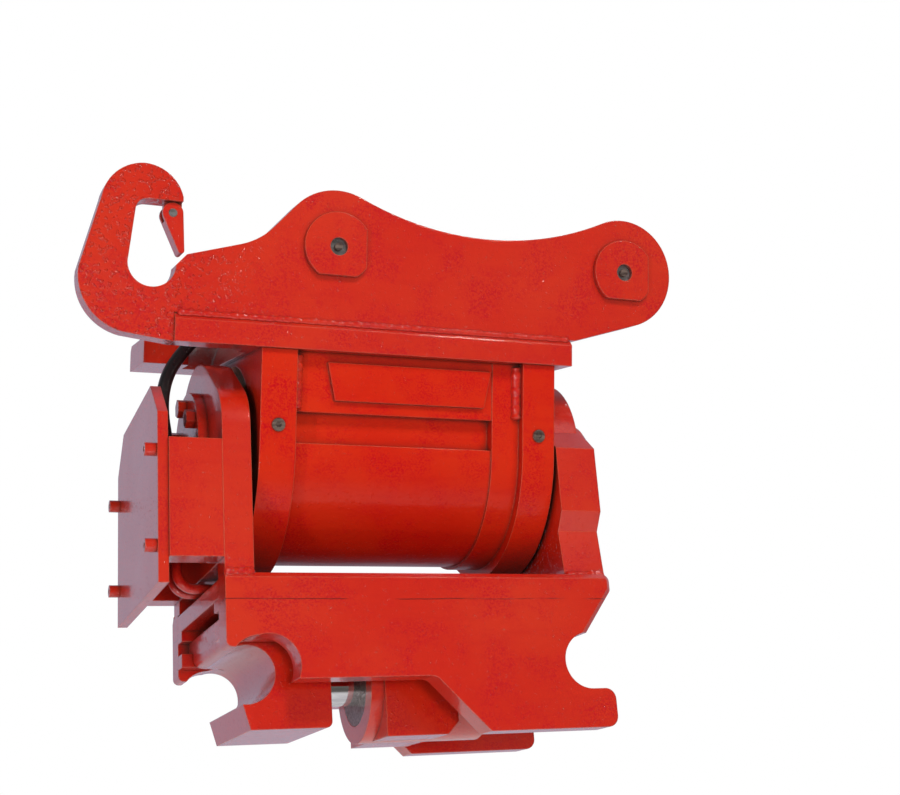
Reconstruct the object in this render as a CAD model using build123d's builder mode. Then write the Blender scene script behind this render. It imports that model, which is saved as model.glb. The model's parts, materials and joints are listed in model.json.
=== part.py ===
from build123d import *
import os
from math import cos, hypot, radians, sin, tan

os.makedirs("parts", exist_ok=True)

# Frame: origin in the middle of the arm pin, +X along the tilt axis towards the
# excavator arm, +Y away from the hook side plate, +Z up. The lower half is drawn
# square to its own planes and leans with them by REST_TILT about the tilt axis.

# Bracket: two ear plates on a base plate, bored for the arm pin and the link pin
PIN_D = 50.0
PIN_SPAN = 320.0
BRACKET_W = 260.0
EAR_T = 28.0
BOSS_R = 58.0
VALLEY_Z = 23.0
BASE_TOP_Z = -77.0
BASE_T = 28.0
BASE_LIP = 5.0
BASE_OVERHANG = 86.0
BASE_R_X = -62.0
EAR_FOOT_X = -56.0
SHOULDER_X = -79.0
SHOULDER_Z = 0.0
SHOULDER_BLEND = 70.0
EAR_STRIP = 1.0
PIN_COLLAR_R = 35.0
PIN_COLLAR_T = 6.0
PIN_COLLAR_FLAT = 29.0
GREASE_HOLE_R = 9.0
NIPPLE_R = 4.0
NIPPLE_LENGTH = 5.0
NOTCH_BACK = 14.0
NOTCH_FAR_Y = 44.0
SWEEP_ROOM = 2.0
BASE_CHAMFER = 6.0

# Lifting hook, drawn in one piece with the near ear plate; x from the base plate's end
HOOK_THROAT = (10.0, -20.0)
HOOK_TOP = (-33.0, 65.0)
HOOK_TIP = (5.0, 31.0)
HOOK_TIP_H = 4.0
HOOK_CROWN = (-7.0, 55.0)
HOOK_BROW = (-58.0, 55.0)
HOOK_BACK_TOP = (-72.0, 30.0)
HOOK_BACK_LOW = (-91.0, -40.0)
HOOK_HEEL = (-48.0, -99.0)
HOOK_HEEL_MID = (-80.0, -79.0)
HOOK_HOLE_C = (-23.0, -31.0)
HOOK_HOLE_R = 23.0
HOOK_HOLE_TOP = (-39.0, 31.0)
HOOK_HOLE_CORNER = 12.0

# Spring latch across the throat of the hook
LATCH_PIVOT_AT = (-4.0, 20.0)
LATCH_R = 10.0
LATCH_TIP_AT = (5.0, -16.0)
LATCH_TIP_W = 6.0
LATCH_SHEET = 4.0
LATCH_PIN_R = 4.0
LUG_T = 11.0
LUG_R = 8.0
LATCH_SIDE_GAP = 0.5
LATCH_PIN_FIT = 0.1
LATCH_SHOULDER_GAP = 1.0

# Tilt axis and housing
AXIS_Z = -202.0
HOUSING_R_X = -80.0
HOUSING_LENGTH = 314.0
FOOT_T = 36.0
FOOT_R = 130.0
TUBE_R = 116.0
LAND_R = 119.0
LAND_LENGTH = 30.0
BORE_R = 92.0
WEB_HALF = 118.0
WEB_FOOT_Z = -165.0
POCKET_HALF = 105.0
POCKET_Z = -196.0
PANEL_LENGTH = 160.0
PANEL_H = 38.0
PANEL_Z = -134.0
PANEL_T = 5.0
PANEL_SLANT = 8.0
PLUG_R = 6.5
PLUG_PROUD = 2.0
PLUG_DEPTH = 6.0
PLUG_KEY_R = 3.2
PLUG_Z = -180.0

# Mechanism in the bore
REST_TILT = 13.0
JOURNAL_R = 60.0
SPLINE_R = 55.0
SMALL_JOURNAL_R = 52.0
BEARING_LENGTH = 31.0
RUN_FIT = 0.05
RING_LENGTH = 90.0
RING_IN_R = 80.5
RING_SET_IN = 20.0
SLEEVE_R = 80.0
SLEEVE_IN_R = 56.0
PISTON_LENGTH = 30.0
SLEEVE_TAIL = 111.0
PISTON_R = 88.0
PISTON_SEAL_LENGTH = 12.0
SLEEVE_AT_REST = 39.0

# Swinging arms on the shaft ends
LEFT_GAP = 8.0
LEFT_ARM_T = 28.0
RIGHT_GAP = 4.0
RIGHT_ARM_T = 45.0
DISC_R = 92.0
ARM_HALF = 125.0
SHOULDER_R = 50.0
SHOULDER_DROP = 5.0
ARM_UNDER = 22.0
WINDOW_H = 15.0
WINDOW_HALF = 95.0
WASHER_R = 72.0
HUB_R = 62.0
HUB_T = 10.0
HUB_BOLT_R = 47.0
HUB_BOLTS = 6
HUB_BOLT_TURN = 30.0
BOLT_HEAD_R = 10.0
BOLT_HEAD_T = 9.0
RIGHT_DISC_R = 90.0
RIGHT_TOP = -17.0
RIGHT_KNEE = -85.0
RIGHT_WAIST = -104.0
RIGHT_WAIST_HALF = 112.0
RIGHT_FOOT_HALF = 118.0
RIGHT_SHOULDER_Y = 98.0
RIGHT_SHOULDER_Z = 8.0
CAP_R = 45.0
CAP_LENGTH = 40.0
CAP_CHAMFER = 5.0

# Guard box beside the left arm
BOX_LENGTH = 51.0
BOX_SIDE_T = 30.0
BOX_TOP = -22.0
GUARD_T = 10.0
GUARD_HALF = 121.0
GUARD_TOP = 42.0
GUARD_UNDER = 9.0
GUARD_CUT = 38.0
SCREW_HALF = 110.0
SCREW_TOP = -31.0
SCREW_LOW = -124.0
SCREW_R = 6.5
SCREW_HEAD = 11.0
SCREW_KEY_R = 3.2
SCREW_KEY_DEPTH = 5.0
MANIFOLD_LENGTH = 47.0
MANIFOLD_HALF = 34.0
MANIFOLD_TOP = -66.0
MANIFOLD_FOOT = -98.0
LINE_HALF = 13.0
TUBE_D = 10.0
TUBE_BEND = 18.0
TUBE_LIFT = 6.0
TUBE_BOSS_R = 10.0
TUBE_BOSS_PROUD = 4.0
TUBE_HOLE_R = 7.0
TUBE_FROM_END = 4.0
ELBOW_HALF = 8.0
LINE_NUT_R = 9.0
LINE_NUT_LENGTH = 12.0

# Coupler frame: two side plates under a deck. Left places count from the coupler's
# left end, right ones from its right end, heights from the middle of the pin seats.
SIDE_T = 30.0
COUPLER_HALF = 130.0
COUPLER_LEDGE = 1.0
TOP_ROUND = 8.0
TOP_BEVEL = 5.0
DECK_SINK = 2.0
DECK_T = 18.0
DECK_SHORT = 32.0
SEAT_R = 28.0
SEAT_UNDER = 88.0
LEFT_SEAT_IN = 40.0
LEFT_SEAT_R = 30.0
RIGHT_SEAT_IN = 32.0
PIN_ROOM = 0.6
LEFT_HORN_UP = 18.0
BELLY_DOWN = 12.0
BELLY_IN = 198.0
SLOPE_IN = 145.0
LOW_DOWN = 66.0
LIP_IN = 8.0
FAR_LIP_OUT = 12.0
LIP_R = 11.0
TIP_DROP = 17.0
TIP_R = 5.0
LEFT_CHIN = 8.0
LEFT_CHIN_IN = 67.0
HORN_R = 6.0
BELLY_R = 12.0
CROSS_IN = 98.0
CROSS_T = 20.0
CROSS_DOWN = 48.0

# Moving jaw and the hydraulic cylinder that pushes it
JAW_HALF = 75.0
JAW_ROOM = 11.0
JAW_IN = 11.0
JAW_SEAT_IN = 31.0
JAW_LENGTH = 103.0
JAW_DOWN = 52.0
JAW_LIP_OUT = 4.0
JAW_LIP_DOWN = 28.0
JAW_LIP_FOOT_IN = 3.0
JAW_CORNER = 6.0
JAW_HORN_UP = 29.0
JAW_HORN_R = 9.0
SEAT_TRIM = 2.0
TONGUE_T = 13.0
TONGUE_LENGTH = 90.0
SLIDE_FIT = 0.1
RAIL_T = 14.0
RAIL_W = 20.0
RAIL_LENGTH = 116.0
ROD_R = 20.0
ROD_DOWN = 4.0
BARREL_R = 58.0
BARREL_BORE_R = 40.0
BARREL_IN = 161.0
BARREL_END_GAP = 12.0
GLAND_LENGTH = 26.0
BACK_LENGTH = 20.0
ROD_PISTON_LENGTH = 24.0
PISTON_ROOM = 6.0
ROD_SEAT = 30.0
SADDLE_STEP = 13.0
SADDLE_LENGTH = 76.0
SADDLE_HALF = 61.0
SADDLE_DOWN = 61.0
SADDLE_SLOPE = 12.0

# Hose from the bracket down to the manifold; x counts from the housing's left end
HOSE_D = 14.0
HOSE_START = (-7.0, -50.0)
HOSE_MID_1 = (-53.0, -93.0)
HOSE_MID_2 = (-73.0, -142.0)
HOSE_Y = 18.0
HOSE_RISE = 62.0
BEND_SHARE = 0.45
BEND_CAP = 400.0
FERRULE_R = 9.0
FERRULE_LENGTH = 22.0
ADAPTER_LENGTH = 34.0
ADAPTER_HALF = 20.0
ADAPTER_TOP = -30.0
ADAPTER_IN = 6.0
ADAPTER_STUB = 24.0

# Places that follow from the sizes above
LINK_X = -PIN_SPAN
PIN_R = PIN_D / 2
HALF_W = BRACKET_W / 2
BASE_FOOT_Z = BASE_TOP_Z - BASE_T
HOUSING_L_X = HOUSING_R_X - HOUSING_LENGTH
LEFT_ARM_R_X = HOUSING_L_X - LEFT_GAP
LEFT_ARM_L_X = LEFT_ARM_R_X - LEFT_ARM_T
RIGHT_ARM_L_X = HOUSING_R_X + RIGHT_GAP
RIGHT_ARM_R_X = RIGHT_ARM_L_X + RIGHT_ARM_T
BOX_L_X = LEFT_ARM_L_X - BOX_LENGTH
GUARD_L_X = BOX_L_X - GUARD_T
RING_L_X = HOUSING_L_X + BEARING_LENGTH + RING_SET_IN
SLEEVE_L_X = HOUSING_L_X + BEARING_LENGTH + RUN_FIT + SLEEVE_AT_REST
PISTON_L_X = SLEEVE_L_X + SLEEVE_TAIL
VALLEY_R = ((PIN_SPAN / 2) ** 2 + VALLEY_Z**2 - BOSS_R**2) / (2 * (BOSS_R - VALLEY_Z))
HOOK_Y = HALF_W - EAR_T / 2
ARM_FOOT = -FOOT_R - ARM_UNDER
WINDOW_TOP = ARM_FOOT + WINDOW_H
GUARD_FOOT = ARM_FOOT - GUARD_UNDER
TUBE_RUN_Z = ARM_FOOT + TUBE_LIFT
DECK_TOP = ARM_FOOT - DECK_SINK
DECK_FOOT = DECK_TOP - DECK_T
SEAT_Z = ARM_FOOT - SEAT_UNDER
LEFT_HORN_Z = SEAT_Z + LEFT_HORN_UP
BELLY_Z = SEAT_Z - BELLY_DOWN
LOW_Z = SEAT_Z - LOW_DOWN
CROSS_FOOT = SEAT_Z - CROSS_DOWN
JAW_TOP = DECK_FOOT - JAW_ROOM
JAW_FOOT = SEAT_Z - JAW_DOWN
JAW_LIP_Z = SEAT_Z - JAW_LIP_DOWN
JAW_HORN_Z = SEAT_Z + JAW_HORN_UP
ROD_Z = SEAT_Z - ROD_DOWN
SADDLE_FOOT = SEAT_Z - SADDLE_DOWN
TUBE_BOSS_Z = ROD_Z + BARREL_R + TUBE_BOSS_PROUD
LINE_X = LEFT_ARM_L_X - MANIFOLD_LENGTH / 2
BASE_L_X = HOUSING_L_X - BASE_OVERHANG
NOTCH_X = HOUSING_L_X - NOTCH_BACK
SHOULDER = (LINK_X + SHOULDER_X, SHOULDER_Z)
THROAT = (BASE_L_X + HOOK_THROAT[0], HOOK_THROAT[1])
LATCH_PIVOT = (BASE_L_X + LATCH_PIVOT_AT[0], LATCH_PIVOT_AT[1])
LATCH_TIP = (BASE_L_X + LATCH_TIP_AT[0], LATCH_TIP_AT[1])
ARM_REACH = hypot(ARM_HALF - SHOULDER_R, SHOULDER_DROP) + SHOULDER_R
COUPLER_L_X = LEFT_ARM_L_X - COUPLER_LEDGE
COUPLER_R_X = RIGHT_ARM_R_X + COUPLER_LEDGE
LEFT_SEAT_X = COUPLER_L_X + LEFT_SEAT_IN
RIGHT_SEAT_X = COUPLER_R_X - RIGHT_SEAT_IN
DECK_R_X = COUPLER_R_X - DECK_SHORT
CROSS_X = COUPLER_R_X - CROSS_IN
JAW_L_X = COUPLER_L_X + JAW_IN
JAW_R_X = JAW_L_X + JAW_LENGTH
JAW_SEAT_X = COUPLER_L_X + JAW_SEAT_IN
BARREL_L_X = COUPLER_L_X + BARREL_IN
BARREL_R_X = CROSS_X - BARREL_END_GAP
SADDLE_L_X = BARREL_L_X + SADDLE_STEP
SADDLE_R_X = SADDLE_L_X + SADDLE_LENGTH
TUBE_NEAR_X = BARREL_L_X + GLAND_LENGTH + PISTON_ROOM / 2
TUBE_FAR_X = BARREL_R_X - BACK_LENGTH - TUBE_FROM_END
TUBE_ENDS = ((-LINE_HALF, TUBE_NEAR_X), (LINE_HALF, TUBE_FAR_X))
SIDE_IN = COUPLER_HALF - SIDE_T

# Working planes. SIDE planes read (x, z) and grow towards -Y, END planes read
# (y, z) and grow towards +X. LOW ones lie in the leaning lower frame.
LEAN = radians(REST_TILT)
AXIS_AT = Vector(0, 0, AXIS_Z)
LOW_Y = Vector(0, cos(LEAN), -sin(LEAN))
LOW_Z_DIR = Vector(0, sin(LEAN), cos(LEAN))
SIDE = Plane(origin=(0, 0, 0), x_dir=(1, 0, 0), z_dir=(0, -1, 0))
BASE_PLANE = Plane(origin=(0, 0, BASE_FOOT_Z), x_dir=(1, 0, 0), z_dir=(0, 0, 1))
AXIS_END = Plane(origin=AXIS_AT, x_dir=(0, 1, 0), z_dir=(1, 0, 0))
LOW_SIDE = Plane(origin=AXIS_AT, x_dir=(1, 0, 0), z_dir=-LOW_Y)
LOW_END = Plane(origin=AXIS_AT, x_dir=LOW_Y, z_dir=(1, 0, 0))
LOW_TOP = Plane(origin=AXIS_AT, x_dir=(1, 0, 0), z_dir=LOW_Z_DIR)


def low_point(x, y, z):
    """A point of the leaning lower frame, in the part's own frame."""
    return AXIS_AT + Vector(x, 0, 0) + LOW_Y * y + LOW_Z_DIR * z


def bar(left, right, low, high, mode=Mode.ADD):
    """Rectangle between four edges, for the sketch that is open."""
    with Locations(((left + right) / 2, (low + high) / 2)):
        Rectangle(right - left, high - low, mode=mode)


def polygon(*points, mode=Mode.ADD):
    """Straight-sided face through the points, for the sketch that is open."""
    Polygon(*points, align=None, mode=mode)


def round_corner(sketch, at, radius):
    """Round the corner of a sketch that lies nearest to a point."""
    corner = sketch.vertices().sort_by_distance((at[0], at[1], 0))[0]
    fillet(corner, radius)


def save(piece, name):
    """Name a finished piece and write its file."""
    piece.part.label = name
    export_step(piece.part, "parts/" + name + ".step")


def ear_profile():
    """Outline of an ear plate without its hook: two bosses, a valley, a shoulder."""
    reach = PIN_SPAN / 2
    touch_z = BOSS_R * (VALLEY_Z + VALLEY_R) / (VALLEY_R + BOSS_R)
    with BuildSketch() as right_end:
        Circle(BOSS_R)
        bar(-reach, EAR_FOOT_X, BASE_TOP_Z, BASE_TOP_Z + EAR_STRIP)
        make_hull()
    with BuildSketch() as left_end:
        with Locations((LINK_X, 0)):
            Circle(BOSS_R)
        polygon(SHOULDER, (SHOULDER[0], BASE_TOP_Z), (LINK_X, BASE_TOP_Z))
        make_hull()
    with BuildSketch() as ear:
        add(right_end.sketch)
        add(left_end.sketch)
        bar(LINK_X, 0, VALLEY_Z - BOSS_R, touch_z)
        with Locations((-reach, VALLEY_Z + VALLEY_R)):
            Circle(VALLEY_R, mode=Mode.SUBTRACT)
        polygon(SHOULDER, THROAT, (THROAT[0], BASE_TOP_Z), (SHOULDER[0], BASE_TOP_Z))
        bar(LINK_X, EAR_FOOT_X, BASE_TOP_Z, 0)
        round_corner(ear, SHOULDER, SHOULDER_BLEND)
        with Locations((0, 0), (LINK_X, 0)):
            Circle(PIN_R, mode=Mode.SUBTRACT)
    return ear.sketch


def hook_at(point):
    """A point of the hook, given from the left end of the base plate."""
    return (BASE_L_X + point[0], point[1])


def hook_profile():
    """Outline of the lifting hook, from its tip round the back to the base plate."""
    tip = hook_at(HOOK_TIP)
    tip_top = (tip[0], tip[1] + HOOK_TIP_H)
    hole = hook_at(HOOK_HOLE_C)
    hole_top = hook_at(HOOK_HOLE_TOP)
    with BuildSketch() as hook:
        with BuildLine():
            Line(tip, tip_top)
            ThreePointArc(tip_top, hook_at(HOOK_CROWN), hook_at(HOOK_TOP))
            ThreePointArc(hook_at(HOOK_TOP), hook_at(HOOK_BROW), hook_at(HOOK_BACK_TOP))
            Line(hook_at(HOOK_BACK_TOP), hook_at(HOOK_BACK_LOW))
            ThreePointArc(hook_at(HOOK_BACK_LOW), hook_at(HOOK_HEEL_MID), hook_at(HOOK_HEEL))
            Line(hook_at(HOOK_HEEL), (BASE_L_X, BASE_FOOT_Z))
            Line((BASE_L_X, BASE_FOOT_Z), (BASE_L_X, BASE_TOP_Z))
            Line((BASE_L_X, BASE_TOP_Z), (THROAT[0], BASE_TOP_Z))
            Line((THROAT[0], BASE_TOP_Z), THROAT)
            Line(THROAT, tip)
        make_face()
        polygon(
            tip,
            hole_top,
            (hole[0] - HOOK_HOLE_R, hole[1]),
            (hole[0] + HOOK_HOLE_R, hole[1]),
            THROAT,
            mode=Mode.SUBTRACT,
        )
        with Locations(hole):
            Circle(HOOK_HOLE_R, mode=Mode.SUBTRACT)
        round_corner(hook, hole_top, HOOK_HOLE_CORNER)
    return hook.sketch


def lug_profile():
    """Tongue under the hook tip that carries the latch."""
    with BuildSketch() as lug:
        with Locations(LATCH_PIVOT):
            Circle(LUG_R)
        bar(LATCH_PIVOT[0] - LUG_R, hook_at(HOOK_TIP)[0], LATCH_PIVOT[1], HOOK_TIP[1] + HOOK_TIP_H)
        with Locations(LATCH_PIVOT):
            Circle(LATCH_PIN_R, mode=Mode.SUBTRACT)
    return lug.sketch


def side_profile(lip_out):
    """Outline of a coupler side plate, with its lower right lip drawn out by lip_out."""
    lip_x = COUPLER_R_X - LIP_IN + lip_out
    belly = (COUPLER_R_X - BELLY_IN, BELLY_Z)
    tip = (COUPLER_R_X, ARM_FOOT - TIP_DROP)
    with BuildSketch() as side:
        polygon(
            (COUPLER_L_X, ARM_FOOT),
            (COUPLER_L_X, LEFT_HORN_Z),
            (LEFT_SEAT_X, LEFT_HORN_Z),
            (LEFT_SEAT_X, SEAT_Z - SEAT_R + LEFT_CHIN),
            (COUPLER_L_X + LEFT_CHIN_IN, BELLY_Z),
            belly,
            (COUPLER_R_X - SLOPE_IN, LOW_Z),
            (lip_x, LOW_Z),
            (lip_x, SEAT_Z - SEAT_R),
            (RIGHT_SEAT_X, SEAT_Z - SEAT_R),
            (RIGHT_SEAT_X, SEAT_Z + SEAT_R),
            tip,
            (COUPLER_R_X, ARM_FOOT),
        )
        round_corner(side, (COUPLER_L_X, LEFT_HORN_Z), HORN_R)
        round_corner(side, (lip_x, LOW_Z), LIP_R)
        round_corner(side, (lip_x, SEAT_Z - SEAT_R), LIP_R)
        round_corner(side, (COUPLER_R_X, ARM_FOOT), TOP_ROUND)
        round_corner(side, tip, TIP_R)
        round_corner(side, belly, BELLY_R)
        with Locations((LEFT_SEAT_X, SEAT_Z)):
            Circle(LEFT_SEAT_R, mode=Mode.SUBTRACT)
        with Locations((JAW_SEAT_X, SEAT_Z)):
            Circle(SEAT_R + PIN_ROOM, mode=Mode.SUBTRACT)
        with Locations((RIGHT_SEAT_X, SEAT_Z)):
            Circle(SEAT_R, mode=Mode.SUBTRACT)
    return side.sketch


def jaw_profile():
    """Outline of the moving jaw with its seat for the second pin."""
    with BuildSketch() as jaw:
        polygon(
            (JAW_L_X, JAW_TOP),
            (JAW_L_X, JAW_HORN_Z),
            (JAW_SEAT_X, SEAT_Z + SEAT_R - SEAT_TRIM),
            (JAW_SEAT_X, SEAT_Z),
            (JAW_SEAT_X - JAW_LIP_OUT, JAW_LIP_Z),
            (JAW_SEAT_X + JAW_LIP_FOOT_IN, JAW_FOOT),
            (JAW_R_X, JAW_FOOT),
            (JAW_R_X, JAW_TOP),
        )
        round_corner(jaw, (JAW_L_X, JAW_HORN_Z), JAW_HORN_R)
        round_corner(jaw, (JAW_R_X, JAW_FOOT), JAW_CORNER)
        with Locations((JAW_SEAT_X, SEAT_Z)):
            Circle(SEAT_R, mode=Mode.SUBTRACT)
    return jaw.sketch


# Ear plates
with BuildPart() as ear_plate_near:
    with BuildSketch(SIDE.offset(HALF_W - EAR_T)):
        add(ear_profile())
        add(hook_profile())
    extrude(amount=EAR_T)
    with BuildSketch(SIDE.offset(HOOK_Y - LUG_T / 2)):
        add(lug_profile())
    extrude(amount=LUG_T)
save(ear_plate_near, "ear_plate_near")

with BuildPart() as ear_plate_far:
    with BuildSketch(SIDE.offset(-HALF_W)):
        add(ear_profile())
    extrude(amount=EAR_T)
save(ear_plate_far, "ear_plate_far")

# Base plate with the notch that lets the hose through and room for the left arm
with BuildPart() as base_plate:
    with BuildSketch(BASE_PLANE):
        bar(BASE_L_X, BASE_R_X, -HALF_W - BASE_LIP, HALF_W + BASE_LIP)
        bar(BASE_L_X, NOTCH_X, EAR_T - HALF_W, NOTCH_FAR_Y, mode=Mode.SUBTRACT)
    extrude(amount=BASE_T)
    lips = base_plate.edges().filter_by(Axis.X).group_by(Axis.Z)[-1]
    chamfer(lips.sort_by(Axis.Y)[0], BASE_CHAMFER)
    top_far = base_plate.edges().filter_by(Axis.X).group_by(Axis.Z)[-1].sort_by(Axis.Y)[-1]
    chamfer(top_far, BASE_CHAMFER)
    with BuildSketch(AXIS_END.offset(LEFT_ARM_L_X - SWEEP_ROOM)):
        Circle(ARM_REACH + SWEEP_ROOM)
    extrude(amount=LEFT_ARM_T + 2 * SWEEP_ROOM, mode=Mode.SUBTRACT)
save(base_plate, "base_plate")


def bracket_pin(x):
    """Pin through both ears, drawn at one of the two pin places."""
    with BuildSketch(SIDE.offset(-HALF_W)) as body:
        with Locations((x, 0)):
            Circle(PIN_R)
    extrude(body.sketch, amount=BRACKET_W)


with BuildPart() as arm_pin:
    bracket_pin(0)
save(arm_pin, "arm_pin")

with BuildPart() as link_pin:
    bracket_pin(LINK_X)
save(link_pin, "link_pin")

# Round collars with two flats over the pin ends, open in the middle for greasing
with BuildPart() as pin_collars:
    with BuildSketch(SIDE.offset(HALF_W), SIDE.offset(-HALF_W - PIN_COLLAR_T)):
        for x in (0, LINK_X):
            with Locations((x, 0)):
                Circle(PIN_COLLAR_R)
            bar(x - PIN_COLLAR_R, x + PIN_COLLAR_R, -PIN_COLLAR_R, -PIN_COLLAR_FLAT, Mode.SUBTRACT)
            bar(x + PIN_COLLAR_FLAT, x + PIN_COLLAR_R, -PIN_COLLAR_R, PIN_COLLAR_R, Mode.SUBTRACT)
            with Locations((x, 0)):
                Circle(GREASE_HOLE_R, mode=Mode.SUBTRACT)
    extrude(amount=PIN_COLLAR_T)
save(pin_collars, "pin_collars")

with BuildPart() as grease_nipples:
    with BuildSketch(SIDE.offset(HALF_W)):
        with Locations((0, 0), (LINK_X, 0)):
            Circle(NIPPLE_R)
    extrude(amount=NIPPLE_LENGTH)
save(grease_nipples, "grease_nipples")

# Spring latch of the hook: two cheeks beside the lug and a back between them
CHEEK_IN = LUG_T / 2 + LATCH_SIDE_GAP
with BuildPart() as hook_latch:
    with BuildSketch(SIDE.offset(HOOK_Y - CHEEK_IN - LATCH_SHEET)) as cheek:
        with Locations(LATCH_PIVOT):
            Circle(LATCH_R)
        with Locations(LATCH_TIP):
            Circle(LATCH_TIP_W / 2)
        make_hull()
        with Locations(LATCH_PIVOT):
            Circle(LATCH_PIN_R + LATCH_PIN_FIT, mode=Mode.SUBTRACT)
    extrude(amount=LATCH_SHEET)
    with BuildSketch(SIDE.offset(HOOK_Y + CHEEK_IN)):
        add(cheek.sketch)
    extrude(amount=LATCH_SHEET)
    with BuildSketch(SIDE.offset(HOOK_Y - CHEEK_IN)):
        with Locations(LATCH_TIP):
            Circle(LATCH_TIP_W / 2)
        with Locations(LATCH_PIVOT):
            Circle(LATCH_R)
        make_hull()
        with Locations(LATCH_PIVOT):
            Circle(LUG_R + LATCH_SHOULDER_GAP, mode=Mode.SUBTRACT)
        bar(
            LATCH_PIVOT[0] - LATCH_R,
            LATCH_PIVOT[0] + LATCH_R,
            LATCH_PIVOT[1] - LUG_R,
            LATCH_PIVOT[1] + LATCH_R,
            Mode.SUBTRACT,
        )
    extrude(amount=2 * CHEEK_IN)
save(hook_latch, "hook_latch")

with BuildPart() as latch_pin:
    with BuildSketch(SIDE.offset(HOOK_Y - CHEEK_IN - LATCH_SHEET)):
        with Locations(LATCH_PIVOT):
            Circle(LATCH_PIN_R)
    extrude(amount=2 * (CHEEK_IN + LATCH_SHEET))
save(latch_pin, "latch_pin")

# Housing: two feet, a tube between them and the web that joins them to the bracket
FOOT_TOP = BASE_FOOT_Z - AXIS_Z
LEFT_FOOT_IN = HOUSING_L_X + FOOT_T
RIGHT_FOOT_IN = HOUSING_R_X - FOOT_T
BETWEEN = RIGHT_FOOT_IN - LEFT_FOOT_IN
with BuildPart() as housing:
    with BuildSketch(AXIS_END.offset(HOUSING_L_X), AXIS_END.offset(RIGHT_FOOT_IN)):
        Circle(FOOT_R)
        bar(-FOOT_R, FOOT_R, 0, FOOT_TOP)
        bar(-FOOT_R, FOOT_R, FOOT_TOP, FOOT_R, Mode.SUBTRACT)
    extrude(amount=FOOT_T)
    with BuildSketch(AXIS_END.offset(LEFT_FOOT_IN)):
        Circle(TUBE_R)
        bar(-WEB_HALF, WEB_HALF, WEB_FOOT_Z - AXIS_Z, FOOT_TOP)
        bar(-TUBE_R, TUBE_R, FOOT_TOP, TUBE_R, Mode.SUBTRACT)
        bar(-TUBE_R, -POCKET_HALF, POCKET_Z - AXIS_Z, WEB_FOOT_Z - AXIS_Z, Mode.SUBTRACT)
        bar(POCKET_HALF, TUBE_R, POCKET_Z - AXIS_Z, WEB_FOOT_Z - AXIS_Z, Mode.SUBTRACT)
    extrude(amount=BETWEEN)
    with BuildSketch(AXIS_END.offset(RIGHT_FOOT_IN - LAND_LENGTH)):
        Circle(LAND_R)
        bar(-LAND_R, LAND_R, 0, FOOT_TOP)
        bar(-LAND_R, LAND_R, FOOT_TOP, LAND_R, Mode.SUBTRACT)
    extrude(amount=LAND_LENGTH)
    with BuildSketch(SIDE.offset(WEB_HALF)):
        middle = (LEFT_FOOT_IN + RIGHT_FOOT_IN) / 2
        polygon(
            (middle - PANEL_LENGTH / 2 - PANEL_SLANT, PANEL_Z + PANEL_H / 2),
            (middle - PANEL_LENGTH / 2, PANEL_Z - PANEL_H / 2),
            (middle + PANEL_LENGTH / 2, PANEL_Z - PANEL_H / 2),
            (middle + PANEL_LENGTH / 2 + PANEL_SLANT, PANEL_Z + PANEL_H / 2),
        )
    extrude(amount=PANEL_T)
    with BuildSketch(AXIS_END.offset(HOUSING_L_X)):
        Circle(BORE_R)
    extrude(amount=HOUSING_LENGTH, mode=Mode.SUBTRACT)
    with BuildSketch(SIDE.offset(FOOT_R - PLUG_DEPTH)):
        with Locations((HOUSING_L_X + FOOT_T / 2, PLUG_Z), (HOUSING_R_X - FOOT_T / 2, PLUG_Z)):
            Circle(PLUG_R)
    extrude(amount=PLUG_DEPTH, mode=Mode.SUBTRACT)
save(housing, "housing")

with BuildPart() as port_plugs:
    with BuildSketch(SIDE.offset(FOOT_R - PLUG_DEPTH)):
        with Locations((HOUSING_L_X + FOOT_T / 2, PLUG_Z), (HOUSING_R_X - FOOT_T / 2, PLUG_Z)):
            Circle(PLUG_R)
    extrude(amount=PLUG_DEPTH + PLUG_PROUD)
    with BuildSketch(SIDE.offset(FOOT_R)):
        with Locations((HOUSING_L_X + FOOT_T / 2, PLUG_Z), (HOUSING_R_X - FOOT_T / 2, PLUG_Z)):
            RegularPolygon(PLUG_KEY_R, 6)
    extrude(amount=PLUG_PROUD, mode=Mode.SUBTRACT)
save(port_plugs, "port_plugs")


def ring(plane, inner, outer, length):
    """Plain ring on a plane, grown along the plane's normal."""
    with BuildSketch(plane) as face:
        Circle(outer)
        Circle(inner, mode=Mode.SUBTRACT)
    extrude(face.sketch, amount=length)


with BuildPart() as bearing_left:
    ring(AXIS_END.offset(HOUSING_L_X), JOURNAL_R + RUN_FIT, BORE_R, BEARING_LENGTH)
save(bearing_left, "bearing_left")

with BuildPart() as bearing_right:
    ring(AXIS_END.offset(HOUSING_R_X - BEARING_LENGTH), SMALL_JOURNAL_R + RUN_FIT, BORE_R, BEARING_LENGTH)
save(bearing_right, "bearing_right")

with BuildPart() as ring_gear:
    ring(AXIS_END.offset(RING_L_X), RING_IN_R, BORE_R, RING_LENGTH)
save(ring_gear, "ring_gear")

# Piston sleeve: it slides and turns between ring gear and shaft
with BuildPart() as piston_sleeve:
    ring(AXIS_END.offset(SLEEVE_L_X), SLEEVE_IN_R, SLEEVE_R, SLEEVE_TAIL)
    ring(AXIS_END.offset(PISTON_L_X), SLEEVE_IN_R, PISTON_R, PISTON_LENGTH)
save(piston_sleeve, "piston_sleeve")

with BuildPart() as piston_seal:
    ring(
        AXIS_END.offset(PISTON_L_X + (PISTON_LENGTH - PISTON_SEAL_LENGTH) / 2),
        PISTON_R + RUN_FIT,
        BORE_R - RUN_FIT,
        PISTON_SEAL_LENGTH,
    )
save(piston_seal, "piston_seal")

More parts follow.
